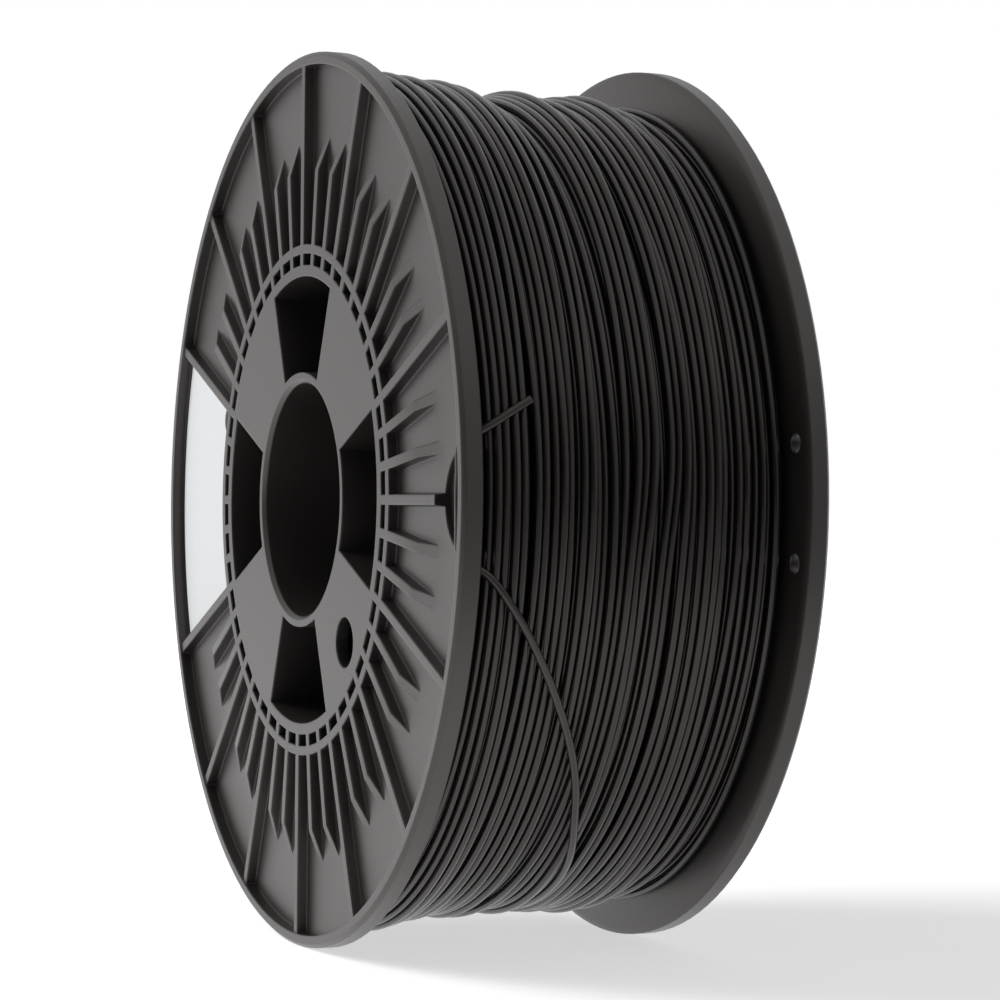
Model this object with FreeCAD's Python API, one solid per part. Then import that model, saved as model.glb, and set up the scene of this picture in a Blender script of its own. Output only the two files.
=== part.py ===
"""A 1 kg filament spool: two equal moulded halves, a paper label and the wound filament.

Millimetres. The spin axis is Y, Z is up and the origin is the middle of the bore. The front flange,
which carries the label, faces -Y. Angles turn about Y from +X towards +Z.
"""
import FreeCAD
import Part
import math
import os

# Flange and rim
RIM_RADIUS = 100.0
OVERALL_WIDTH = 81.6
LIP_THICKNESS = 2.7
RIM_BEVEL = 0.8
RIM_TAPER_RADIAL = 1.5
RIM_TAPER_AXIAL = 0.8
PLATE_THICKNESS = 2.3

# Hub
BORE_RADIUS = 26.25
BORE_MOUTH = 0.8
HUB_TUBE_WALL = 2.35
HUB_DROP = 0.4
WEB_THICKNESS = 3.0
WINDOW_COUNT = 4
WINDOW_SPAN = 45.0
TUNNEL_WALL = 2.0

# Double-wall drum with its ring of slots
DRUM_RADIUS = 57.3
DRUM_SKIN = 2.0
DRUM_INNER_WALL = 2.5
SLOT_DEPTH = 2.6
SLOT_COUNT = 48
SLOT_FLOOR = 1.5
BAR_WIDTH = 2.05

# Radial ribs
RIB_HEIGHT = 2.3
RIB_WIDTH = 2.1
RIB_FOOT_WIDTH = 2.7
RIB_PITCH = 7.5
LONG_RIB_EVERY = 3
RAMP_START_RADIUS = 74.0
SHORT_RIB_RADIUS = 81.0
BARE_FIELD_ANGLE = 180.0
BARE_FIELD_RIBS = 3

# Holes and recesses of the flange
DRIVE_HOLE_RADIUS = 5.5
DRIVE_HOLE_PLACE = (43.6, -45.0)
THREADING_SLOT_GAP = 10.5
THREADING_SLOT_RIB_MARGIN = 0.1
THREADING_SLOT_DRUM_MARGIN = 1.3
THREADING_SLOT_TIP = 75.9
THREADING_SLOT_ROUNDING = 2.9
SIGHT_HOLE_RADIUS = 2.5
SIGHT_HOLE_PLACE = (62.0, 162.0)
STRAND_HOLE_RADIUS = 2.1
STRAND_HOLE_INSET = 2.77
STRAND_HOLE_Z = 12.5
FINGER_RECESS_RADIUS = 10.7
FINGER_RECESS_INSET = 2.9
FINGER_RECESS_DEPTH = 1.6

# Keys that join the halves: each enters an open slot of the other half
KEY_SLOTS = (3, 9, 14, 20)
KEY_LENGTH = 6.0
KEY_CLEARANCE = 0.15

# Label
LABEL_THICKNESS = 0.15
LABEL_MARGIN = 0.3
LABEL_RIM_GAP = 1.7
LABEL_CORNER_RADIUS = 1.5
LABEL_NOTCH_MARGIN = 1.1

# Filament
FILAMENT_DIAMETER = 1.75
SECTION_CORNER_RADIUS = 1.0
WINDING_INSET = 5.9
WINDING_SIDE_GAP = 0.2
TURN_SEAT_GAP = 0.15
TURN_COUNT = 5
TURN_SIDE_MARGIN = 1.8
TURN_END_ANGLE = 160.0
SECTION_SIDES = 4

# Loose end: angle, radius and Y of each point over the turns, then X, Y and Z through the flange
OVER_TURNS = (
    (172.6, 95.4, 34.5), (185.3, 95.7, 31.6), (198.1, 95.6, 28.1), (210.7, 95.7, 24.5),
    (223.3, 95.6, 20.7), (235.9, 95.7, 17.1), (248.3, 95.6, 13.6), (260.6, 95.7, 10.6),
    (271.4, 95.6, 8.0), (280.4, 95.5, 6.1), (288.2, 95.4, 4.5), (295.2, 95.4, 3.2),
    (301.5, 95.4, 1.9), (308.6, 95.4, 0.2), (315.9, 95.4, -2.8), (322.0, 95.4, -5.3),
    (329.2, 95.4, -9.9), (336.9, 95.5, -16.6), (344.0, 95.8, -23.9),
)
THROUGH_FLANGE = (
    (94.3, -28.6, -20.2), (94.9, -32.6, -15.2), (93.9, -36.4, -12.9), (93.8, -39.25, -11.0),
    (93.95, -39.15, -5.2), (93.8, -39.3, 0.3), (93.95, -39.15, 5.2), (93.8, -39.25, 11.0),
    (93.9, -36.4, 12.9), (94.9, -33.0, 14.9), (95.3, -28.7, 17.7), (95.0, -24.4, 20.2),
)

# Levels, as distances from mid-width to a half's outer side
FACE = OVERALL_WIDTH / 2
TOP = FACE - HUB_DROP
FLOOR = TOP - RIB_HEIGHT
INNER = FLOOR - PLATE_THICKNESS

# Radii that follow from the walls
LIP_RADIUS = RIM_RADIUS - LIP_THICKNESS
TUBE_RADIUS = BORE_RADIUS + HUB_TUBE_WALL
SLOT_OUTER_RADIUS = DRUM_RADIUS - DRUM_SKIN
SLOT_INNER_RADIUS = SLOT_OUTER_RADIUS - SLOT_DEPTH
WINDOW_OUTER_RADIUS = SLOT_INNER_RADIUS - DRUM_INNER_WALL
LABEL_OUTER_RADIUS = LIP_RADIUS - LABEL_RIM_GAP
WINDING_RADIUS = RIM_RADIUS - WINDING_INSET
STRAND_HOLE_X = math.sqrt((LIP_RADIUS - STRAND_HOLE_INSET) ** 2 - STRAND_HOLE_Z ** 2)
FINGER_RECESS_X = LIP_RADIUS - FINGER_RECESS_INSET
SLOT_PITCH = 360.0 / SLOT_COUNT
WINDOW_PITCH = 360.0 / WINDOW_COUNT
RIB_EMBED = DRUM_SKIN / 2
CUT_OVERRUN = PLATE_THICKNESS / 2

Vector = FreeCAD.Vector
AXIS = Vector(0, 1, 0)
ORIGIN = Vector(0, 0, 0)


def polar(radius, angle, y):
    """Point at a radius and an angle in degrees about the spin axis."""
    turn = math.radians(angle)
    return Vector(radius * math.cos(turn), y, radius * math.sin(turn))


def turned(shape, angle):
    """Copy of a shape turned about the spin axis, from +X towards +Z."""
    copy = shape.copy()
    copy.rotate(ORIGIN, AXIS, -angle)
    return copy


def segment(start, end):
    """Straight edge."""
    return Part.LineSegment(start, end).toShape()


def outline(points):
    """Closed wire of straight edges through points."""
    return Part.Wire([segment(p, q) for p, q in zip(points, points[1:] + points[:1])])


def revolved(profile):
    """Solid of revolution about the spin axis of (radius, level) points."""
    points = [Vector(radius, -level, 0) for radius, level in profile]
    return Part.Face(outline(points)).revolve(ORIGIN, AXIS, 360)


def cylinder(radius, x, z, y0, y1):
    """Cylinder along Y between two levels."""
    return Part.makeCylinder(radius, y1 - y0, Vector(x, y0, z), AXIS)


def sector_corners(r0, r1, centre, half_angle, inset, y):
    """Corners between two radii and two sides parallel to the radial lines at +-half_angle.

    Each side is moved inwards by inset, so that walls or bars between two sectors are of even thickness.
    """
    inner = half_angle - math.degrees(math.asin(inset / r0))
    outer = half_angle - math.degrees(math.asin(inset / r1))
    return [
        polar(r0, centre - inner, y), polar(r1, centre - outer, y),
        polar(r1, centre + outer, y), polar(r0, centre + inner, y),
    ]


def sector(r0, r1, centre, half_angle, inset, y0, y1):
    """Prism between two arcs and two inset radial sides."""
    a, b, c, d = sector_corners(r0, r1, centre, half_angle, inset, y0)
    edges = [
        segment(a, b),
        Part.Arc(b, polar(r1, centre, y0), c).toShape(),
        segment(c, d),
        Part.Arc(d, polar(r0, centre, y0), a).toShape(),
    ]
    return Part.Face(Part.Wire(edges)).extrude(Vector(0, y1 - y0, 0))


def slot_prism(clearance, index, y0, y1):
    """Flat-sided prism that fills a slot of the drum, less a clearance all round."""
    corners = sector_corners(
        SLOT_INNER_RADIUS + clearance, SLOT_OUTER_RADIUS - clearance,
        (index + 0.5) * SLOT_PITCH, SLOT_PITCH / 2, BAR_WIDTH / 2 + clearance, y0)
    return Part.Face(outline(corners)).extrude(Vector(0, y1 - y0, 0))


def flange_and_drum():
    """Drum wall, plate and raised rim, from mid-width out to the front face."""
    return revolved([
        (WINDOW_OUTER_RADIUS, 0), (DRUM_RADIUS, 0), (DRUM_RADIUS, INNER),
        (RIM_RADIUS - RIM_TAPER_RADIAL, INNER), (RIM_RADIUS, INNER + RIM_TAPER_AXIAL),
        (RIM_RADIUS, FACE - RIM_BEVEL), (RIM_RADIUS - RIM_BEVEL, FACE), (LIP_RADIUS, FACE),
        (LIP_RADIUS, FLOOR), (DRUM_RADIUS, FLOOR), (DRUM_RADIUS, TOP), (WINDOW_OUTER_RADIUS, TOP),
    ])


def hub_tube():
    """Half of the tube round the bore, with its bevelled mouth."""
    return revolved([
        (BORE_RADIUS, 0), (BORE_RADIUS, TOP - BORE_MOUTH), (BORE_RADIUS + BORE_MOUTH, TOP),
        (TUBE_RADIUS, TOP), (TUBE_RADIUS, 0),
    ])


def hub_corner(angle):
    """Hollow corner between two windows: the web in front and a wall along each window."""
    half = (WINDOW_PITCH - WINDOW_SPAN) / 2
    outer = WINDOW_OUTER_RADIUS + RIB_EMBED
    inner = TUBE_RADIUS - HUB_TUBE_WALL / 2
    block = sector(inner, outer, angle, half, 0.0, -TOP, 0.0)
    hollow = sector(TUBE_RADIUS, WINDOW_OUTER_RADIUS, angle, half, TUNNEL_WALL, WEB_THICKNESS - TOP, 0.0)
    return block.cut(hollow)


def rib(end_radius, ramped):
    """Rib along +X with drafted sides, from inside the drum wall out to a radius, ramped down to the plate."""
    start = DRUM_RADIUS - RIB_EMBED
    buried = FLOOR - PLATE_THICKNESS / 2
    draft = (RIB_FOOT_WIDTH - RIB_WIDTH) / 2 / RIB_HEIGHT
    top, base = RIB_WIDTH / 2, RIB_WIDTH / 2 + draft * (TOP - buried)
    corners = [(-base, buried), (base, buried), (top, TOP), (-top, TOP)]
    body = Part.Face(outline([Vector(start, -level, side) for side, level in corners]))
    if not ramped:
        return body.extrude(Vector(end_radius - start, 0, 0))
    fall = RIB_HEIGHT / (end_radius - RAMP_START_RADIUS)
    beyond = end_radius + (FLOOR - buried) / 2 / fall
    body = body.extrude(Vector(beyond - start, 0, 0))
    low = TOP - fall * (beyond - RAMP_START_RADIUS)
    wedge = [(RAMP_START_RADIUS, TOP), (beyond, low), (beyond, FACE), (RAMP_START_RADIUS, FACE)]
    wedge = Part.Face(outline([Vector(radius, -level, -base) for radius, level in wedge]))
    return body.cut(wedge.extrude(Vector(0, 0, 2 * base)))


def ribs():
    """All ribs but those of the bare field that carries the label."""
    long_rib = rib(RIM_RADIUS - LIP_THICKNESS / 2, False)
    short_rib = rib(SHORT_RIB_RADIUS, True)
    for index in range(int(360 / RIB_PITCH)):
        angle = index * RIB_PITCH
        if abs(angle - BARE_FIELD_ANGLE) < BARE_FIELD_RIBS * RIB_PITCH:
            continue
        yield turned(short_rib if index % LONG_RIB_EVERY else long_rib, angle)


def slots():
    """Slots between the drum's two walls: blind, but open at mid-width where the other half's key enters."""
    for index in range(SLOT_COUNT):
        takes_key = SLOT_COUNT - 1 - index in KEY_SLOTS
        yield slot_prism(0.0, index, -FACE, CUT_OVERRUN if takes_key else -SLOT_FLOOR)


def keys():
    """Keys that stand on a slot's floor, past mid-width, and enter the other half's slots."""
    return [slot_prism(KEY_CLEARANCE, index, -SLOT_FLOOR / 2, KEY_LENGTH) for index in KEY_SLOTS]


def threading_slot():
    """Slot where the winding's first turn is caught: it fills the gap between two ribs and ends round."""
    side = RIB_FOOT_WIDTH / 2 + THREADING_SLOT_RIB_MARGIN
    start = DRUM_RADIUS + THREADING_SLOT_DRUM_MARGIN
    shoulder = THREADING_SLOT_TIP - THREADING_SLOT_ROUNDING
    angle = THREADING_SLOT_GAP * RIB_PITCH
    a, b, c, d = sector_corners(start, shoulder, angle, RIB_PITCH / 2, side, -FACE)
    tip = polar(THREADING_SLOT_TIP, angle, -FACE)
    edges = [segment(a, b), Part.Arc(b, tip, c).toShape(), segment(c, d), segment(d, a)]
    return Part.Face(Part.Wire(edges)).extrude(Vector(0, FACE - INNER + CUT_OVERRUN, 0))


def hole(radius, x, z):
    """Round hole through the plate."""
    return cylinder(radius, x, z, -FACE, CUT_OVERRUN - INNER)


def finger_recess():
    """Round recess in the plate's outer side that lets a finger lift the strand, open to the rim's wall."""
    disc = cylinder(FINGER_RECESS_RADIUS, FINGER_RECESS_X, 0, -FACE, FINGER_RECESS_DEPTH - FLOOR)
    return disc.common(cylinder(LIP_RADIUS, 0, 0, -FACE, 0))


def moulded_half():
    """The front half: one moulding, open at mid-width."""
    angles = [(index + 0.5) * WINDOW_PITCH for index in range(WINDOW_COUNT)]
    body = flange_and_drum().fuse([hub_tube()] + [hub_corner(angle) for angle in angles] + list(ribs()))
    drive, sight = polar(*DRIVE_HOLE_PLACE, 0), polar(*SIGHT_HOLE_PLACE, 0)
    cutters = list(slots()) + [
        threading_slot(),
        finger_recess(),
        hole(SIGHT_HOLE_RADIUS, sight.x, sight.z),
        hole(STRAND_HOLE_RADIUS, STRAND_HOLE_X, -STRAND_HOLE_Z),
        hole(STRAND_HOLE_RADIUS, STRAND_HOLE_X, STRAND_HOLE_Z),
        cylinder(DRIVE_HOLE_RADIUS, drive.x, drive.z, -FACE, WEB_THICKNESS + CUT_OVERRUN - TOP),
    ]
    return body.cut(cutters).fuse(keys()).removeSplitter()


def label():
    """Paper label on the plate, between the two ribs that bound the bare field, notched round the hole."""
    foot = RIB_FOOT_WIDTH / 2 + LABEL_MARGIN
    start = DRUM_RADIUS + LABEL_MARGIN
    half = BARE_FIELD_RIBS * RIB_PITCH
    sheet = sector(start, LABEL_OUTER_RADIUS, BARE_FIELD_ANGLE, half, foot, -FLOOR - LABEL_THICKNESS, -FLOOR)
    outer = [
        edge for edge in sheet.Edges
        if edge.Length < 2 * LABEL_THICKNESS
        and math.hypot(edge.CenterOfMass.x, edge.CenterOfMass.z) > (start + LABEL_OUTER_RADIUS) / 2
    ]
    sheet = sheet.makeFillet(LABEL_CORNER_RADIUS, outer)
    centre = polar(*SIGHT_HOLE_PLACE, 0)
    notched = sheet.cut(cylinder(SIGHT_HOLE_RADIUS + LABEL_NOTCH_MARGIN, centre.x, centre.z, -FACE, 0))
    return max(notched.Solids, key=lambda solid: solid.Volume)


def filament_core():
    """The turns under the outer layer, as one plain ring on the drum."""
    half = INNER - WINDING_SIDE_GAP
    radius = WINDING_RADIUS - 2 * SECTION_CORNER_RADIUS - TURN_SEAT_GAP
    return cylinder(radius, 0, 0, -half, half).cut(cylinder(DRUM_RADIUS, 0, 0, -half, half))


def arc_from(start, corner, end):
    """Arc between two points whose tangents meet at a corner."""
    middle = (start + end) * 0.5
    half = (end - start).Length / 2
    height = (corner - middle).Length
    bulge = middle + (corner - middle) * (half / (half + math.hypot(half, height)))
    return Part.Arc(start, bulge, end).toShape()


def helix(angle):
    """Point and direction of the outer layer's centre line at an angle in radians from mid-width."""
    radius = WINDING_RADIUS - SECTION_CORNER_RADIUS
    pitch = 2 * (INNER - TURN_SIDE_MARGIN) / TURN_COUNT
    turn = angle + math.radians(TURN_END_ANGLE) - math.pi * TURN_COUNT
    point = Vector(radius * math.cos(turn), pitch * angle / (2 * math.pi), radius * math.sin(turn))
    direction = Vector(-radius * math.sin(turn), pitch / (2 * math.pi), radius * math.cos(turn))
    return point, direction.normalize()


def layer_edges():
    """Biarcs of half a turn each, from flange to flange, with a straight diameter at both ends."""
    angles = [math.pi * step for step in range(-TURN_COUNT, TURN_COUNT + 1)]
    nodes = [helix(angle) for angle in angles]
    first, last = nodes[0], nodes[-1]
    edges = [segment(first[0] - first[1] * FILAMENT_DIAMETER, first[0])]
    for (p0, t0), (p1, t1) in zip(nodes, nodes[1:]):
        v, t = p1 - p0, t0 + t1
        fall = 2 * (1 - t0.dot(t1))
        reach = (-v.dot(t) + math.sqrt(v.dot(t) ** 2 + fall * v.dot(v))) / fall
        q0, q1 = p0 + t0 * reach, p1 - t1 * reach
        joint = (q0 + q1) * 0.5
        edges += [arc_from(p0, q0, joint), arc_from(joint, q1, p1)]
    return edges + [segment(last[0], layer_end())]


def layer_end():
    """Point where the outer layer stops and the loose end begins."""
    point, direction = helix(math.pi * TURN_COUNT)
    return point + direction * FILAMENT_DIAMETER


def section(start, direction, outward):
    """Faceted section of the filament, square to a direction, with a corner outwards."""
    side = direction.cross(outward).normalize()
    up = side.cross(direction).normalize()
    points = []
    for index in range(SECTION_SIDES):
        turn = 2 * math.pi * index / SECTION_SIDES
        across, outwards = math.sin(turn), math.cos(turn)
        points.append(start + (up * outwards + side * across) * SECTION_CORNER_RADIUS)
    return outline(points)


def filament_layer():
    """The outer layer of turns as one unbroken tube; prints its least gap to itself."""
    edges = layer_edges()
    start, direction = helix(-math.pi * TURN_COUNT)
    profile = section(start - direction * FILAMENT_DIAMETER, direction, Vector(start.x, 0, start.z))
    samples = [point for edge in edges for point in edge.discretize(19)]
    apart = WINDING_RADIUS * math.pi / 2
    travelled = [0.0]
    for p, q in zip(samples, samples[1:]):
        travelled.append(travelled[-1] + (q - p).Length)
    nearest = min(
        (samples[i] - samples[j]).Length
        for i in range(len(samples)) for j in range(i)
        if travelled[i] - travelled[j] > apart
    )
    print("outer layer: least gap to itself %.2f mm" % (nearest - 2 * SECTION_CORNER_RADIUS))
    return Part.Wire(edges).makePipeShell([profile], True, False)


def filament_end():
    """The loose end: straight runs joined by tangent arcs; prints its radii and its volume's error."""
    route = [layer_end()] + [polar(r, a, y) for a, r, y in OVER_TURNS] + [Vector(*p) for p in THROUGH_FLANGE]
    edges, radii, last = [], [], route[0]
    for before, point, after in zip(route, route[1:], route[2:]):
        arrive, leave = (point - before).normalize(), (after - point).normalize()
        reach = 0.45 * min((point - before).Length, (after - point).Length)
        half_turn = arrive.getAngle(leave) / 2
        radii.append(reach / math.tan(half_turn))
        start, end = point - arrive * reach, point + leave * reach
        edges += [segment(last, start), arc_from(start, point, end)]
        last = end
    edges.append(segment(last, route[-1]))
    wire = Part.Wire(edges)
    direction = (route[1] - route[0]).normalize()
    profile = section(route[0], direction, Vector(route[0].x, 0, route[0].z))
    tube = wire.makePipeShell([profile], True, False)
    expected = Part.Face(profile).Area * wire.Length
    print("loose end: length %.1f mm, radii %s" % (wire.Length, " ".join("%.1f" % r for r in radii)))
    print("loose end: volume over section times length %.5f" % (tube.Volume / expected))
    print("loose end: first point %.3f %.3f %.3f" % tuple(route[0]))
    return tube


def main():
    """Build every piece and write it to its own file."""
    os.makedirs("parts", exist_ok=True)
    half = moulded_half()
    rear = half.copy()
    rear.rotate(ORIGIN, Vector(1, 0, 0), 180)
    pieces = {
        "front_half": half,
        "rear_half": rear,
        "label": label(),
        "filament_core": filament_core(),
        "filament_layer": filament_layer(),
        "filament_end": filament_end(),
    }
    for name, shape in pieces.items():
        solids = len(shape.Solids)
        print("%-16s valid %s solids %d volume %.1f" % (name, shape.isValid(), solids, shape.Volume))
        shape.exportStep("parts/%s.step" % name)


main()
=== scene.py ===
"""Dresses a filament spool: studio, moulded halves, paper label, wound filament, loose end.

Metres, in the model's own frame: the spin axis is Y, Z is up and the labelled flange faces -Y.
Angles turn about Y from +X towards +Z.
"""
import logging
import math
from dataclasses import dataclass
from enum import IntEnum
from typing import NamedTuple

import bpy
import numpy as np
from mathutils import Matrix, Vector


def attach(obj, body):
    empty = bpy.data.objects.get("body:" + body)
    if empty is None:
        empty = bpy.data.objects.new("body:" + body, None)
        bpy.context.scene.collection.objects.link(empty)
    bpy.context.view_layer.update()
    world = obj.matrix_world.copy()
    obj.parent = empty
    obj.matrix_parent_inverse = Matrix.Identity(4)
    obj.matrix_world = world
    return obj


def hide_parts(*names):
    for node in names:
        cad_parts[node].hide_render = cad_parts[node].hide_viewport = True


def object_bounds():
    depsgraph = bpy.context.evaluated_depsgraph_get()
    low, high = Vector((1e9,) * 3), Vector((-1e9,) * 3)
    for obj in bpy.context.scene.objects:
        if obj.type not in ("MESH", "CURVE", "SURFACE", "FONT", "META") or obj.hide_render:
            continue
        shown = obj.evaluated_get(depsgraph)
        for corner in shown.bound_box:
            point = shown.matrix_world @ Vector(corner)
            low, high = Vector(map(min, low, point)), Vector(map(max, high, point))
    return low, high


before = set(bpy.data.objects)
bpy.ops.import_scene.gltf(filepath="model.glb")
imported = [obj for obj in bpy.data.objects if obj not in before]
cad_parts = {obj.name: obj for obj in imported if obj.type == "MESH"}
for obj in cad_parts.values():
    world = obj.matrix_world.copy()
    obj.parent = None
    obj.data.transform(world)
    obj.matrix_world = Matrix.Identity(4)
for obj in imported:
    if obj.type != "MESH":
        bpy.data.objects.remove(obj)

CAD_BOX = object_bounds()
MM = 0.001
STRAND = 1.75 * MM
BODY = "root"
WHITE = (1.0, 1.0, 1.0, 1.0)
NOISE_SPAN = (0.3, 0.7)
# Where the outer layer ends and the loose end starts, in millimetres.
LAYER_END = (-88.084, 34.041, 30.198)

Triple =tuple[float, float, float]
Span = tuple[float, float]

log = logging.getLogger("spool")


class Draw(IntEnum):
    """Random streams, one for each thing that is drawn."""

    UNDER_GAPS = 1
    UNDER_WANDER = 2
    OUTER_WANDER = 3
    OUTER_SHAKE = 4
    OUTER_GAPS = 5
    OUTER_GRIP = 6


class Heading(IntEnum):
    """Way along the axis in which a layer's turns follow each other."""

    TO_REAR = 1
    TO_FRONT = -1


class Sketch:
    """Node tree of one material or world, with short calls to add and join nodes."""

    def __init__(self, tree: bpy.types.NodeTree) -> None:
        """Empty the tree.

        Args:
            tree: Node tree to fill.
        """
        self.tree = tree
        tree.nodes.clear()

    def node(self, kind: str, inputs: dict | None = None, **settings: object) -> bpy.types.Node:
        """Add a node.

        Args:
            kind: Node type without its ShaderNode prefix.
            inputs: Socket name or number to a value or to another node's output socket.
            settings: Properties of the node.

        Returns:
            The new node.
        """
        made = self.tree.nodes.new("ShaderNode" + kind)
        for name, value in settings.items():
            setattr(made, name, value)
        for name, value in (inputs or {}).items():
            if isinstance(value, bpy.types.NodeSocket):
                self.tree.links.new(value, made.inputs[name])
            else:
                made.inputs[name].default_value = value
        return made

    def join(
            self, operation: str, first: bpy.types.NodeSocket,
            second: bpy.types.NodeSocket | float) -> bpy.types.NodeSocket:
        """Join two values by arithmetic.

        Args:
            operation: Name of the operation, such as ADD.
            first: Socket to read.
            second: Socket or plain value.

        Returns:
            The result's socket.
        """
        return self.node("Math", {0: first, 1: second}, operation=operation).outputs[0]

    def noise(
            self, where: bpy.types.NodeSocket, scale: float, detail: float) -> bpy.types.NodeSocket:
        """Noise, nearly all of it within NOISE_SPAN.

        Args:
            where: Coordinate socket.
            scale: Noise scale.
            detail: Number of finer octaves.

        Returns:
            The noise's factor socket.
        """
        return self.node("TexNoise", {"Vector": where, "Scale": scale, "Detail": detail}).outputs[0]

    def ramp(
            self, value: bpy.types.NodeSocket, span: Span, to: Span,
            shape: str = "LINEAR") -> bpy.types.NodeSocket:
        """Map one span of values to another; the result stays within it.

        Args:
            value: Socket to read.
            span: Values where the ramp starts and ends.
            to: Results there.
            shape: Name of the interpolation.

        Returns:
            The result's socket.
        """
        inputs = dict(enumerate((value, *span, *to)))
        return self.node("MapRange", inputs, interpolation_type=shape).outputs[0]

    def tones(
            self, factor: bpy.types.NodeSocket, colour: Triple,
            shares: Span) -> bpy.types.NodeSocket:
        """Colour that goes from one share of itself to another.

        Args:
            factor: Socket from 0 to 1.
            colour: The colour.
            shares: Its shares at 0 and at 1.

        Returns:
            The colour's socket.
        """
        first, second = ((*[share * part for part in colour], 1.0) for share in shares)
        # A colour mix takes its colours at sockets 6 and 7 and gives the result at socket 2.
        mix = self.node("Mix", {0: factor, 6: first, 7: second}, data_type="RGBA")
        return mix.outputs[2]

    def step(self, value: bpy.types.NodeSocket, span: Span, height: float) -> bpy.types.NodeSocket:
        """Smooth step from zero to a height.

        Args:
            value: Socket to read.
            span: Values where the result is zero and where it is the height.
            height: The step's height.

        Returns:
            The result's socket.
        """
        return self.join("MULTIPLY", self.ramp(value, span, (0.0, 1.0), "SMOOTHSTEP"), height)

    def fade(self, value: bpy.types.NodeSocket, span: Span, rest: float) -> bpy.types.NodeSocket:
        """Smooth step from a rest to one.

        Args:
            value: Socket to read.
            span: Values where the result is the rest and where it is one.
            rest: Lowest result.

        Returns:
            The result's socket.
        """
        return self.join("ADD", self.step(value, span, 1.0 - rest), rest)

    def surface(self, inputs: dict) -> None:
        """End a material with a principled shader.

        Args:
            inputs: The shader's inputs.
        """
        shader = self.node("BsdfPrincipled", inputs)
        self.node("OutputMaterial", {"Surface": shader.outputs[0]})


def new_material(name: str) -> tuple[bpy.types.Material, Sketch]:
    """Material with an empty node tree.

    Args:
        name: Material name.

    Returns:
        The material and its sketch.
    """
    material = bpy.data.materials.new(name)
    material.use_nodes = True
    return material, Sketch(material.node_tree)


def new_object(name: str, data: bpy.types.ID) -> bpy.types.Object:
    """Object in the scene.

    Args:
        name: Object name.
        data: Its mesh, curve, lamp or camera.

    Returns:
        The object.
    """
    made = bpy.data.objects.new(name, data)
    bpy.context.scene.collection.objects.link(made)
    return made


@dataclass(frozen=True)
class MouldedPlastic:
    """Charcoal moulded plastic with a fine grain and softly rounded edges."""

    colour: Triple = (0.0190, 0.0170, 0.0160)
    shine: Triple = (1.0, 0.95, 0.93)
    ior: float = 1.62
    tone_shares: Span = (0.93, 1.07)
    tone_scale: float = 22.0
    tone_detail: float = 3.0
    grain_scale: float = 2600.0
    grain_detail: float = 2.0
    grain_strength: float = 0.8
    grain_depth: float = 0.035 * MM
    roughness: Span = (0.33, 0.43)
    edge_radius: float = 0.6 * MM
    edge_samples: int = 6

    def make(self) -> bpy.types.Material:
        """Build the material.

        Returns:
            The material.
        """
        material, sketch = new_material("moulded_plastic")
        where = sketch.node("TexCoord").outputs["Object"]
        flow = sketch.noise(where, self.tone_scale, self.tone_detail)
        grain = sketch.noise(where, self.grain_scale, self.grain_detail)
        share = sketch.ramp(flow, NOISE_SPAN, (0.0, 1.0))
        tone = sketch.tones(share, self.colour, self.tone_shares)
        edge = sketch.node("Bevel", {"Radius": self.edge_radius}, samples=self.edge_samples)
        bump = sketch.node("Bump", {
            "Height": grain, "Normal": edge.outputs[0], "Strength": self.grain_strength,
            "Distance": self.grain_depth})
        sketch.surface({
            "Base Color": tone, "Roughness": sketch.ramp(grain, NOISE_SPAN, self.roughness),
            "Normal": bump.outputs[0], "IOR": self.ior, "Specular Tint": (*self.shine, 1.0)})
        return material


@dataclass(frozen=True)
class SatinFilament:
    """Black extruded filament: satin, with faint draw lines along its length."""

    colour: Triple = (0.0100, 0.0085, 0.0080)
    shine: Triple = (1.0, 0.93, 0.90)
    ior: float = 1.5
    line_stretch: Triple = (6.0, 9.0, 1.0)
    line_detail: float = 2.0
    line_strength: float = 0.25
    line_depth: float = 0.05 * MM
    roughness: Span = (0.20, 0.30)

    def make(self) -> bpy.types.Material:
        """Build the material; the strand's UV map runs along U and round V.

        Returns:
            The material.
        """
        material, sketch = new_material("satin_filament")
        uv = sketch.node("UVMap", uv_map="strand").outputs[0]
        stretched = sketch.node("Mapping", {"Vector": uv, "Scale": self.line_stretch}).outputs[0]
        lines = sketch.noise(stretched, 1.0, self.line_detail)
        bump = sketch.node("Bump", {
            "Height": lines, "Strength": self.line_strength, "Distance": self.line_depth})
        sketch.surface({
            "Base Color": (*self.colour, 1.0),
            "Roughness": sketch.ramp(lines, NOISE_SPAN, self.roughness),
            "Normal": bump.outputs[0], "IOR": self.ior, "Specular Tint": (*self.shine, 1.0)})
        return material


@dataclass(frozen=True)
class LabelPaper:
    """Smooth coated white paper."""

    colour: Triple = (0.80, 0.81, 0.82)
    tone_shares: Span = (0.98, 1.0)
    fibre_scale: float = 900.0
    fibre_detail: float = 4.0
    fibre_strength: float = 0.1
    fibre_depth: float = 0.02 * MM
    roughness: float = 0.5

    def make(self) -> bpy.types.Material:
        """Build the material.

        Returns:
            The material.
        """
        material, sketch = new_material("label_paper")
        where = sketch.node("TexCoord").outputs["Object"]
        fibre = sketch.noise(where, self.fibre_scale, self.fibre_detail)
        share = sketch.ramp(fibre, NOISE_SPAN, (0.0, 1.0))
        tone = sketch.tones(share, self.colour, self.tone_shares)
        bump = sketch.node("Bump", {
            "Height": fibre, "Strength": self.fibre_strength, "Distance": self.fibre_depth})
        sketch.surface({
            "Base Color": tone, "Roughness": self.roughness, "Normal": bump.outputs[0]})
        return material


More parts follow.
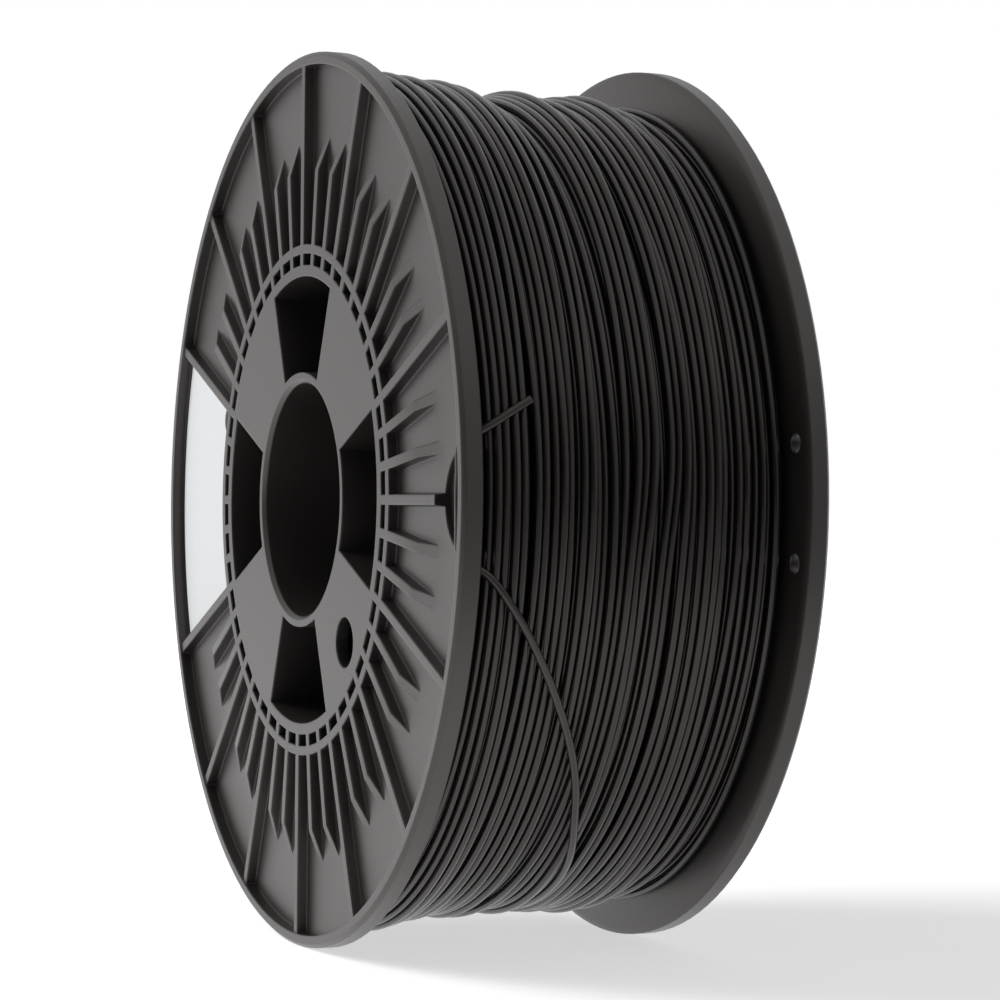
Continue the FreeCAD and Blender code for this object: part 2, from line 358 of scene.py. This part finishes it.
def dress(piece: bpy.types.Object, material: bpy.types.Material) -> None:
    """Give a piece one material in all its slots, and report it.

    Args:
        piece: Object to dress.
        material: Its material.
    """
    if not piece.data.materials:
        piece.data.materials.append(material)
    for slot in piece.material_slots:
        slot.material = material
    log.info("%s dressed in %s", piece.name, material.name)


def polar(radius: np.ndarray, angle: np.ndarray, y: np.ndarray) -> np.ndarray:
    """Points at radii and angles about the spin axis.

    Args:
        radius: Distances from the axis.
        angle: Angles in radians, from +X towards +Z.
        y: Places along the axis.

    Returns:
        Array of points, with X, Y and Z last: radius times cosine, y, radius times sine.
    """
    return np.stack([radius * np.cos(angle), y + 0 * radius, radius * np.sin(angle)], axis=-1)


def rounded(share: np.ndarray) -> np.ndarray:
    """Smooth step: three times the square less twice the cube.

    Args:
        share: Values from 0 to 1.

    Returns:
        Values from 0 to 1, level at both ends.
    """
    return share * share * (3 - 2 * share)


def eased(values: np.ndarray, reach: int) -> np.ndarray:
    """Moving average with a rounded window, which keeps both ends.

    Args:
        values: Values along the strand.
        reach: Steps on each side.

    Returns:
        Smoothed values.
    """
    window = np.hanning(2 * reach + 3)[1:-1]
    padded = np.pad(values, reach, mode="edge")
    return np.convolve(padded, window / window.sum(), mode="valid")


def grid_piece(
        name: str, points: np.ndarray, uv: np.ndarray | None, ring: bool) -> bpy.types.Object:
    """Mesh piece from a grid of points, four corners a face. The columns wrap round.

    Args:
        name: Object name.
        points: Array of rows, columns and X, Y, Z.
        uv: One U and V per grid point, or None.
        ring: Whether the rows wrap round too; if not, both ends get a cap.

    Returns:
        The new object, smooth shaded.
    """
    rows, columns = points.shape[:2]
    index = np.arange(rows * columns).reshape(rows, columns)
    if ring:
        index = np.vstack([index, index[:1]])
    index = np.hstack([index, index[:, :1]])
    quads = [index[:-1, :-1], index[:-1, 1:], index[1:, 1:], index[1:, :-1]]
    faces = np.stack(quads, axis=-1).reshape(-1, 4).tolist()
    if not ring:
        faces += [index[0, :columns][::-1].tolist(), index[-1, :columns].tolist()]
    mesh = bpy.data.meshes.new(name)
    mesh.from_pydata(points.reshape(-1, 3).tolist(), [], faces)
    mesh.polygons.foreach_set("use_smooth", [True] * len(mesh.polygons))
    if uv is not None:
        layer = mesh.uv_layers.new(name="strand")
        corners = np.empty(len(mesh.loops), dtype=np.int32)
        mesh.loops.foreach_get("vertex_index", corners)
        layer.data.foreach_set("uv", uv.reshape(-1, 2)[corners].astype(np.float32).ravel())
    mesh.update()
    return new_object(name, mesh)


@dataclass(frozen=True)
class Viewpoint:
    """Camera, whose place and turns were fitted to the photograph."""

    lens: float = 116.64
    sensor_width: float = 36.0
    clip_start: float = 0.01
    place: Triple = (0.6904, -0.27634, -0.00221)
    yaw: float = math.radians(67.592)
    pitch: float = math.radians(-0.201)
    roll: float = math.radians(0.538)

    def build(self) -> None:
        """Place the camera: its back direction from yaw and pitch, then a roll about it."""
        back = Vector((
            math.sin(self.yaw) * math.cos(self.pitch),
            -math.cos(self.yaw) * math.cos(self.pitch), math.sin(self.pitch)))
        side = Vector((math.cos(self.yaw), math.sin(self.yaw), 0.0))
        rise = back.cross(side)
        c, s = math.cos(self.roll), math.sin(self.roll)
        right, up = c * side + s * rise, c * rise - s * side
        data = bpy.data.cameras.new("camera")
        data.sensor_width = self.sensor_width
        data.lens = self.lens
        data.clip_start = self.clip_start
        matrix = Matrix((right, up, back)).transposed().to_4x4()
        matrix.translation = Vector(self.place)
        camera = new_object("camera", data)
        camera.matrix_world = matrix
        bpy.context.scene.camera = camera


@dataclass(frozen=True)
class Surround:
    """World light: white for the camera, and soft bright parts on three sides for the rest."""

    rear_light: float = 1.0
    rear_span: Span = (0.25, -0.15)
    rear_fade: Span = (0.5, 0.14)
    high_share: float = 0.45
    ceiling_light: float = 0.95
    ceiling_span: Span = (0.10, 0.60)
    front_fade: Span = (-0.45, 0.15)
    front_share: float = 0.75
    patch_light: float = 0.55
    patch_way: Triple = (0.242, 0.970, 0.0)
    patch_span: Span = (-0.08, 0.12)
    least_light: float = 0.02
    matt_share: float = 0.2

    def build(self) -> None:
        """Set the world's light.

        The strength is the largest of three parts and a faint rest. The rear side is a smooth step
        down along X, times one that fades with height. The ceiling is a smooth step up along Z,
        times one that is weaker towards -Y. The patch is a smooth step towards one level direction.
        Rays that aren't mirrored get a small share of it.
        """
        world = bpy.data.worlds.new("surround")
        bpy.context.scene.world = world
        world.use_nodes = True
        world.cycles.sampling_method = "NONE"
        sketch = Sketch(world.node_tree)
        way = sketch.node("TexCoord").outputs["Generated"]
        x, y, z = sketch.node("SeparateXYZ", {0: way}).outputs
        rear = sketch.join(
            "MULTIPLY", sketch.step(x, self.rear_span, self.rear_light),
            sketch.fade(z, self.rear_fade, self.high_share))
        ceiling = sketch.join(
            "MULTIPLY", sketch.step(z, self.ceiling_span, self.ceiling_light),
            sketch.fade(y, self.front_fade, self.front_share))
        towards = sketch.node("VectorMath", {0: way, 1: self.patch_way}, operation="DOT_PRODUCT")
        patch = sketch.step(towards.outputs["Value"], self.patch_span, self.patch_light)
        level = rear
        for part in (ceiling, patch, self.least_light):
            level = sketch.join("MAXIMUM", level, part)
        ray = sketch.node("LightPath").outputs
        share = sketch.ramp(ray["Is Glossy Ray"], (0.0, 1.0), (self.matt_share, 1.0))
        level = sketch.join("MULTIPLY", level, share)
        strength = sketch.join("MAXIMUM", level, ray["Is Camera Ray"])
        shine = sketch.node("Background", {"Color": WHITE, "Strength": strength})
        sketch.node("OutputWorld", {"Surface": shine.outputs[0]})


@dataclass(frozen=True)
class Floor:
    """Pale floor that keeps the shadow and reads white for the camera where it is lit."""

    level: float = CAD_BOX[0].z
    half_side: float = 8.0
    tone_shares: Span = (0.90, 0.93)
    tone_scale: float = 40.0
    tone_detail: float = 4.0
    roughness: float = 0.5
    veil_span: Span = (0.3, 1.6)
    veil: Span = (0.6, 1.0)
    gloss_span: Span = (0.36, 0.10)
    gloss: float = 0.9

    def finish(self) -> bpy.types.Material:
        """Matt white with a glow.

        The camera sees a veil that grows with the distance from the spool. Mirrored rays see a
        glow that is a smooth step down along X.

        Returns:
            The material.
        """
        material, sketch = new_material("studio_floor")
        where = sketch.node("TexCoord").outputs["Object"]
        grain = sketch.noise(where, self.tone_scale, self.tone_detail)
        tone = sketch.tones(grain, WHITE[:3], self.tone_shares)
        matt = sketch.node("BsdfDiffuse", {"Color": tone, "Roughness": self.roughness})
        ray = sketch.node("LightPath").outputs
        far = sketch.node("VectorMath", {0: where}, operation="LENGTH").outputs["Value"]
        veil = sketch.ramp(far, self.veil_span, self.veil)
        seen = sketch.join("MULTIPLY", ray["Is Camera Ray"], veil)
        x = sketch.node("SeparateXYZ", {0: where}).outputs["X"]
        near = sketch.step(x, self.gloss_span, self.gloss)
        mirrored = sketch.join("MULTIPLY", ray["Is Glossy Ray"], near)
        glow = sketch.node(
            "Emission", {"Color": WHITE, "Strength": sketch.join("ADD", seen, mirrored)})
        both = sketch.node("AddShader", {0: matt.outputs[0], 1: glow.outputs[0]})
        sketch.node("OutputMaterial", {"Surface": both.outputs[0]})
        material.cycles.emission_sampling = "NONE"
        return material

    def build(self) -> None:
        """Lay the floor under the spool."""
        side = self.half_side
        corners = [(-side, -side), (side, -side), (side, side), (-side, side)]
        mesh = bpy.data.meshes.new("floor")
        mesh.from_pydata([(x, y, self.level) for x, y in corners], [], [(0, 1, 2, 3)])
        mesh.materials.append(self.finish())
        new_object("floor", mesh)


@dataclass(frozen=True)
class KeyLight:
    """Square softbox in front of the labelled flange, not mirrored in the turns."""

    place: Triple = (-1.0, -1.6, 1.1)
    size: float = 1.3
    power: float = 43.5

    def build(self) -> None:
        """Aim the light at the spool."""
        data = bpy.data.lights.new("front_softbox", "AREA")
        data.shape = "SQUARE"
        data.size = self.size
        data.energy = self.power
        lamp = new_object("front_softbox", data)
        lamp.location = self.place
        lamp.rotation_euler = (-Vector(self.place)).to_track_quat("-Z", "Y").to_euler()
        lamp.visible_glossy = False


def build_studio() -> None:
    """Set up camera, world, floor and light."""
    bpy.context.scene.view_settings.view_transform = "Standard"
    for part in (Viewpoint(), Surround(), Floor(), KeyLight()):
        part.build()
    log.info("studio ready")


@dataclass(frozen=True)
class LooseEnd:
    """The strand's parked end: over the turns, out through the front flange and back in.

    Points are in millimetres. Those over the turns are an angle in degrees, a radius and a Y.
    """

    length: float = 0.373
    roundness: int = 5
    fineness: int = 12
    start: Triple = LAYER_END
    over_turns: tuple[Triple, ...] = (
        (172.6, 94.6, 34.4), (185.3, 94.9, 31.2), (198.1, 94.9, 26.8), (210.7, 94.9, 22.0),
        (223.3, 94.9, 17.0), (235.9, 94.8, 12.4), (246.4, 94.3, 8.8), (255.2, 93.3, 6.8),
        (263.4, 92.8, 6.0), (271.4, 92.8, 5.8), (280.4, 92.8, 5.8), (288.2, 92.8, 5.7),
        (295.2, 92.9, 5.3), (301.5, 93.5, 4.0), (308.2, 94.4, 1.7), (314.7, 94.6, -1.5),
        (321.3, 94.9, -4.4), (328.8, 95.6, -9.2), (336.6, 96.5, -16.0), (343.8, 97.3, -23.4),
    )
    through_flange: tuple[Triple, ...] = (
        (95.1, -28.6, -20.3), (94.9, -32.6, -15.2), (93.9, -36.4, -12.9), (93.8, -39.25, -11.0),
        (93.95, -39.15, -5.2), (93.8, -39.3, 0.3), (93.95, -39.15, 5.2), (93.8, -39.25, 11.0),
        (93.9, -36.4, 12.9), (94.9, -33.0, 14.9), (95.3, -28.7, 17.7), (95.0, -24.4, 20.2),
    )

    def route(self) -> list[Vector]:
        """All points of the route, from the layer's end to the cut end.

        Returns:
            Points in metres.
        """
        points = [Vector(self.start) * MM]
        for angle, radius, y in self.over_turns:
            turn = math.radians(angle)
            points.append(Vector((radius * math.cos(turn), y, radius * math.sin(turn))) * MM)
        return points + [Vector(point) * MM for point in self.through_flange]

    def build(self, finish: bpy.types.Material) -> None:
        """Lay the strand along one smooth spline.

        Args:
            finish: Filament material.
        """
        route = self.route()
        data = bpy.data.curves.new("loose_end", "CURVE")
        data.dimensions = "3D"
        data.bevel_depth = STRAND / 2
        data.bevel_resolution = self.roundness
        data.use_fill_caps = True
        data.resolution_u = self.fineness
        spline = data.splines.new("NURBS")
        spline.points.add(len(route) - 1)
        for point, place in zip(spline.points, route):
            point.co = (*place, 1.0)
        spline.order_u = 3
        spline.use_endpoint_u = True
        strand = new_object("loose_end", data)
        dress(strand, finish)
        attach(strand, BODY)
        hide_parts("filament_end")
        log.info("loose end laid, %d route points", len(route))


class Path(NamedTuple):
    """Centreline of a layer of turns, step by step."""

    angle: np.ndarray
    radius: np.ndarray
    y: np.ndarray


@dataclass(frozen=True)
class Wander:
    """Smooth wandering: a sum of sines of the length wound, with random phases.

    The size is that of the wandering, and each sine has its period in turns.
    """

    draw: Draw
    size: float
    periods: tuple[float, ...]

    def along(self, wound: np.ndarray, seed: int) -> np.ndarray:
        """Wandering along a strand.

        Args:
            wound: Length wound, in turns.
            seed: Seed of all streams.

        Returns:
            Offsets of about plus or minus the size.
        """
        chance = np.random.default_rng((seed, int(self.draw)))
        phases = chance.uniform(0, 2 * math.pi, len(self.periods))
        total = sum(np.sin(2 * math.pi * wound / p + f) for p, f in zip(self.periods, phases))
        return self.size * total / math.sqrt(len(self.periods))


@dataclass(frozen=True)
class Hump:
    """Band of turns that stand high or low, in millimetres: a bell curve of the place along Y.

    Its height goes from one at the top of the spool to another at the bottom.
    """

    middle: float
    width: float
    top: float
    bottom: float

    def height(self, place: np.ndarray, upper: np.ndarray) -> np.ndarray:
        """Height at places along the axis.

        Args:
            place: Places along the axis, in millimetres.
            upper: 1 at the top of the spool, 0 at the bottom.

        Returns:
            Heights in millimetres.
        """
        bell = np.exp(-((place - self.middle) / self.width) ** 2)
        return (self.bottom + (self.top - self.bottom) * upper) * bell


@dataclass(frozen=True)
class Parting:
    """Furrow that the loose end keeps open where it dives between the turns.

    Each stop is an angle in degrees, the furrow's place along Y in millimetres and the share of a
    strand that turns keep from it. At the lowest angle, turns beyond the ridge are behind it.
    """

    stops: tuple[Triple, ...] = (
        (246.0, 9.0, 0.0), (257.0, 6.5, 1.0), (272.0, 5.8, 1.0), (288.0, 5.7, 1.0),
        (298.0, 4.9, 1.0), (306.0, 2.5, 0.0),
    )
    lowest_angle: float = math.radians(275.0)
    ridge: float = 5.8 * MM

    def sides(self, y: np.ndarray, lowest: int, steps: int) -> np.ndarray:
        """On which side of the furrow each step of the strand lies.

        Args:
            y: Places along the axis, along the strand.
            lowest: First step at the lowest angle.
            steps: Steps in a turn.

        Returns:
            -1 in front of the furrow, 1 behind it.
        """
        behind = y[lowest::steps] > self.ridge
        first_behind = len(behind) - int(behind.sum())
        return np.where(np.arange(len(y)) // steps < first_behind, -1.0, 1.0)

    def push(self, y: np.ndarray, angle: np.ndarray, side: np.ndarray) -> np.ndarray:
        """How far turns must move away from the furrow.

        Args:
            y: Places along the axis.
            angle: Angles about it.
            side: Side of the furrow.

        Returns:
            Moves along the axis.
        """
        degrees = np.degrees(angle) % 360
        angles, middles, shares = (np.array(column) for column in zip(*self.stops))
        middle = np.interp(degrees, angles, middles) * MM
        share = np.interp(degrees, angles, shares, left=0.0, right=0.0)
        return side * np.clip(share * STRAND - side * (y - middle), 0.0, None)


@dataclass(frozen=True)
class Winding:
    """The wound filament: a ridged core of hidden turns, the layer below, and the outer layer.

    Each layer is one strand. Its place along the axis is a function of the length wound, so a turn
    runs on into the next. The outer layer is laid turn by turn on what lies under it. Its end meets
    the loose end.
    """

    seed: int = 41
    steps: int = 150
    half_width: float = 35.5 * MM
    least_gap: float = 0.05

    drum_radius: float = 57.5 * MM
    core_radius: float = 89.6 * MM
    core_ridges: int = 40
    ridge_height: float = 0.45 * MM
    core_rows: int = 247
    core_columns: int = 120

    humps: tuple[Hump, ...] = (
        Hump(-28.5, 7.0, 2.6, 2.8), Hump(-20.0, 5.0, 0.0, 0.8), Hump(-13.5, 5.0, 2.1, 0.0),
        Hump(-7.5, 4.0, -0.7, 1.4), Hump(-2.5, 5.0, -1.6, -0.3), Hump(4.0, 4.0, 0.3, -0.3),
        Hump(12.0, 6.0, -2.2, -0.2), Hump(19.0, 4.0, 0.1, 0.7), Hump(26.0, 4.0, -2.0, -0.9),
    )
    wave_height: float = 0.12
    wave_paces: Span = (0.62, 1.13)
    wave_swing: float = 0.8
    wave_shift: float = 2.0
    rear_drop: float = 1.6 * MM
    rear_drop_from: float = 25.0 * MM
    rear_drop_run: float = 2.0 * MM

    under_radius: float = 90.9 * MM
    under_turns: int = 36
    under_sides: int = 8
    under_grip: float = 0.97
    under_wander: Wander = Wander(Draw.UNDER_WANDER, 0.45 * MM, (0.37, 0.61, 1.43))

    outer_turns: int = 30
    outer_sides: int = 12
    outer_lift: float = 0.7 * MM
    outer_grip: float = 0.9
    grip_wander: Wander = Wander(Draw.OUTER_GRIP, 0.13, (0.41, 0.73, 2.3))
    outer_wander: Wander = Wander(Draw.OUTER_WANDER, 0.95 * MM, (0.41, 0.63, 0.87, 1.9))
    outer_shake: Wander = Wander(Draw.OUTER_SHAKE, 0.08 * MM, (0.17, 0.23))

    settling_rounds: int = 80
    settling_share: float = 0.9
    place_reach: int = 5
    radius_reach: int = 7

    end_angle: float = math.atan2(LAYER_END[2], LAYER_END[0])
    end_radius: float = math.hypot(LAYER_END[0], LAYER_END[2]) * MM
    end_y: float = LAYER_END[1] * MM
    end_run: float = 0.22

    def spacing(self, turns: int, wound: np.ndarray, draw: Draw) -> np.ndarray:
        """Base places along the axis: turns with random gaps that fill the width.

        Args:
            turns: Number of turns.
            wound: Length wound, in turns.
            draw: Random stream of the gaps.

        Returns:
            Places along the axis, interpolated between the whole turns.
        """
        chance = np.random.default_rng((self.seed, int(draw)))
        gaps = chance.exponential(1.0, turns) + self.least_gap
        room = 2 * self.half_width - STRAND * (turns + 1)
        places = np.concatenate([[0.0], np.cumsum(STRAND + room * gaps / gaps.sum())])
        return np.interp(wound, np.arange(turns + 1), places) - self.half_width + STRAND / 2

    def level(self, y: np.ndarray, angle: np.ndarray) -> np.ndarray:
        """How much the hidden turns stand above or below their mean.

        Two slow waves, the humps, and a drop at the rear.

        Args:
            y: Places along the axis.
            angle: Angles about it.

        Returns:
            Heights to add to a radius.
        """
        place = y / MM
        slow, quick = self.wave_paces
        waves = np.sin(place * slow + self.wave_swing * np.sin(angle))
        height = self.wave_height * (waves + np.sin(place * quick + self.wave_shift + angle))
        upper = 0.5 + 0.5 * np.sin(angle)
        for hump in self.humps:
            height = height + hump.height(place, upper)
        ramp = np.clip((y - self.rear_drop_from) / self.rear_drop_run, 0.0, 1.0)
        return height * MM - self.rear_drop * rounded(ramp)

    def settle(
            self, y: np.ndarray, angle: np.ndarray, heading: Heading, grip: np.ndarray,
            parting: Parting | None) -> np.ndarray:
        """Push turns apart until each keeps its share of a strand to the next one.

        Each overlap is halved between the two turns, again and again. Where the loose end lies
        among the turns, they also keep away from it, on the side where they started.

        Args:
            y: Places along the axis, along the strand.
            angle: Angles about it.
            heading: Way in which the turns follow each other.
            grip: Share of a strand that a turn keeps to the one before.
            parting: Furrow of the loose end, or None.

        Returns:
            Settled places.
        """
        steps = self.steps
        limit = self.half_width - STRAND / 2
        if parting:
            wound_to_lowest = (parting.lowest_angle - self.end_angle) / (2 * math.pi)
            side = parting.sides(y, int(round(wound_to_lowest * steps)), steps)
        y = y.copy()
        for _ in range(self.settling_rounds):
            overlap = grip[steps:] * STRAND - heading * (y[steps:] - y[:-steps])
            push = 0.5 * np.clip(overlap, 0.0, None)
            move = np.zeros_like(y)
            move[steps:] += heading * push
            move[:-steps] -= heading * push
            y += self.settling_share * move
            if parting:
                y += parting.push(y, angle, side)
            y = np.clip(y, -limit, limit)
        return y

    def under_layer(self) -> Path:
        """The layer below, wound from the rear flange to the front one.

        Returns:
            Its centreline.
        """
        turns = self.under_turns
        wound = np.arange(turns * self.steps + 1) / self.steps
        angle = 2 * math.pi * wound + self.end_angle
        y = -self.spacing(turns, wound, Draw.UNDER_GAPS) + self.under_wander.along(wound, self.seed)
        grip = np.full_like(y, self.under_grip)
        y = eased(self.settle(y, angle, Heading.TO_FRONT, grip, None), self.place_reach)
        return Path(angle, self.under_radius + self.level(y, angle), y)

    def resting_radius(self, y: np.ndarray, others: Path) -> np.ndarray:
        """Radius at which a turn touches other turns: theirs plus the height of a right triangle.

        The triangle's long side is one strand and its short side the distance along the axis.

        Args:
            y: Place of the turn at each angle.
            others: The other turns, one row each.

        Returns:
            The largest such radius at each angle, or zero where none is touched.
        """
        apart = others.y - y[None, :]
        height = np.sqrt(np.clip(STRAND ** 2 - apart ** 2, 0.0, None))
        return np.where(height > 0, others.radius + height, 0.0).max(axis=0)

    def stack(self, y: np.ndarray, angle: np.ndarray, under: Path) -> np.ndarray:
        """Lay the outer turns, one by one, on what is there.

        A turn lies on the layer below. Where it is less than a strand from the turn before, it
        stays under that turn if there is room, and climbs onto it if there isn't.

        Args:
            y: Places along the axis.
            angle: Angles about it.
            under: The layer below.

        Returns:
            Radii of the centreline.
        """
        steps = self.steps
        rows = Path(*(column[:-1].reshape(self.under_turns, steps) for column in under))
        radius = np.empty_like(y)
        for turn in range(self.outer_turns):
            part = slice(turn * steps, (turn + 1) * steps)
            least = self.under_radius + self.level(y[part], angle[part]) + self.outer_lift
            radius[part] = np.maximum(self.resting_radius(y[part], rows), least)
            if turn:
                before = slice((turn - 1) * steps, turn * steps)
                apart = np.clip((y[part] - y[before]) / STRAND, -1.0, 1.0)
                height = STRAND * np.sqrt(1 - apart ** 2)
                stays = (radius[part] <= radius[before] - height) | (height == 0)
                climbing = np.maximum(radius[part], radius[before] + height)
                radius[part] = np.where(stays, radius[part], climbing)
        return radius

    def outer_layer(self, under: Path) -> Path:
        """The outer layer, wound from the front flange to the rear one.

        Args:
            under: The layer below.

        Returns:
            Its centreline, which ends where the loose end starts.
        """
        turns = self.outer_turns
        wound = np.arange(turns * self.steps + 1) / self.steps
        angle = 2 * math.pi * wound + self.end_angle
        wander = self.outer_wander.along(wound, self.seed)
        wander += self.outer_shake.along(wound, self.seed)
        grip = self.outer_grip + self.grip_wander.along(wound, self.seed)
        y = self.spacing(turns, wound, Draw.OUTER_GAPS) + wander
        y = self.settle(y, angle, Heading.TO_REAR, grip, Parting())
        radius = self.stack(y, angle, under)
        y[-1], radius[-1] = self.end_y, self.end_radius
        y, radius = eased(y, self.place_reach), eased(radius, self.radius_reach)
        near_end = rounded(np.clip(1 - (turns - wound) / self.end_run, 0.0, 1.0))
        radius = radius + (self.end_radius - radius) * near_end
        return Path(angle, radius, y + (self.end_y - y) * near_end)

    def tube(self, name: str, path: Path, sides: int) -> bpy.types.Object:
        """Round tube: a circle in the plane of the outward direction and the side direction.

        Args:
            name: Object name.
            path: Its centreline.
            sides: Corners of the circle.

        Returns:
            The tube.
        """
        centre = polar(path.radius, path.angle, path.y)
        lengths = np.linalg.norm(np.diff(centre, axis=0), axis=1)
        travelled = np.concatenate([[0.0], np.cumsum(lengths)])
        along = np.gradient(centre, axis=0)
        along /= np.linalg.norm(along, axis=1, keepdims=True)
        outward = polar(np.ones_like(path.angle), path.angle, 0 * path.angle)
        side = np.cross(along, outward)
        side /= np.linalg.norm(side, axis=1, keepdims=True)
        outward = np.cross(side, along)
        turn = (2 * math.pi * np.arange(sides) / sides)[None, :, None]
        ring = outward[:, None, :] * np.cos(turn) + side[:, None, :] * np.sin(turn)
        points = centre[:, None, :] + ring * (STRAND / 2)
        turned = np.abs(np.arange(sides)[None, :] * 2.0 / sides - 1.0)
        u, v = np.broadcast_arrays(travelled[:, None], turned)
        return grid_piece(name, points, np.stack([u, v], axis=-1), ring=False)

    def core(self) -> bpy.types.Object:
        """Closed ring with a rounded ridge for each hidden turn; its profile turns about the axis.

        Returns:
            The core.
        """
        y = np.linspace(-self.half_width, self.half_width, self.core_rows)
        across = y / (2 * self.half_width) + 0.5
        ridge = self.ridge_height * np.abs(np.cos(math.pi * self.core_ridges * across))
        angle = (2 * math.pi * np.arange(self.core_columns) / self.core_columns)[:, None]
        top = self.core_radius + ridge[None, :] + self.level(y[None, :], angle)
        foot = np.full((self.core_columns, 1), self.drum_radius)
        radius = np.concatenate([foot, top, foot], axis=1)
        place = np.concatenate([[y[0]], y, [y[-1]]])
        grid = [np.broadcast_to(values, radius.shape) for values in (angle, place)]
        return grid_piece("hidden_turns", polar(radius, *grid), None, ring=True)

    def build(self, finish: bpy.types.Material) -> None:
        """Wind the core, the layer below and the outer layer.

        Args:
            finish: Filament material.
        """
        under = self.under_layer()
        outer = self.outer_layer(under)
        pieces = (
            (self.core(), "filament_core"),
            (self.tube("turns_below", under, self.under_sides), "filament_core"),
            (self.tube("outer_turns", outer, self.outer_sides), "filament_layer"))
        for piece, node in pieces:
            dress(piece, finish)
            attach(piece, BODY)
            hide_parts(node)
        top = (outer.radius + STRAND / 2).max()
        log.info("winding of %d turns, largest radius %.2f mm", self.outer_turns, top / MM)


@dataclass(frozen=True)
class Mouldings:
    """The two moulded halves, whose shape the frame gives."""

    nodes: tuple[str, ...] = ("front_half", "rear_half")
    merge_below: float = 0.002 * MM
    smooth_below: float = math.radians(30)

    def smoothing(self) -> bpy.types.NodeTree:
        """Node group that joins the loose triangles and shades them smooth below an angle.

        Returns:
            The geometry node group.
        """
        group = bpy.data.node_groups.new("soft_shading", "GeometryNodeTree")
        for way in ("INPUT", "OUTPUT"):
            group.interface.new_socket("Geometry", in_out=way, socket_type="NodeSocketGeometry")
        inlet, outlet = group.nodes.new("NodeGroupInput"), group.nodes.new("NodeGroupOutput")
        merge = group.nodes.new("GeometryNodeMergeByDistance")
        merge.inputs["Distance"].default_value = self.merge_below
        angle = group.nodes.new("GeometryNodeInputMeshEdgeAngle")
        flat = group.nodes.new("FunctionNodeCompare")
        flat.operation = "LESS_THAN"
        flat.inputs[1].default_value = self.smooth_below
        faces = group.nodes.new("GeometryNodeSetShadeSmooth")
        edges = group.nodes.new("GeometryNodeSetShadeSmooth")
        edges.domain = "EDGE"
        link = group.links.new
        link(inlet.outputs[0], merge.inputs[0])
        link(merge.outputs[0], faces.inputs[0])
        link(faces.outputs[0], edges.inputs[0])
        link(angle.outputs[0], flat.inputs[0])
        link(flat.outputs[0], edges.inputs["Shade Smooth"])
        link(edges.outputs[0], outlet.inputs[0])
        return group

    def build(self, finish: bpy.types.Material) -> None:
        """Dress both halves.

        Args:
            finish: Plastic material.
        """
        group = self.smoothing()
        for name in self.nodes:
            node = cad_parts[name]
            dress(node, finish)
            modifier = node.modifiers.new("soft_shading", "NODES")
            modifier.node_group = group


def main() -> None:
    """Build the studio and dress every piece."""
    logging.basicConfig(level=logging.INFO, format="%(name)s: %(message)s")
    build_studio()
    filament = SatinFilament().make()
    LooseEnd().build(filament)
    Winding().build(filament)
    Mouldings().build(MouldedPlastic().make())
    dress(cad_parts["label"], LabelPaper().make())


if __name__ == "__main__":
    main()
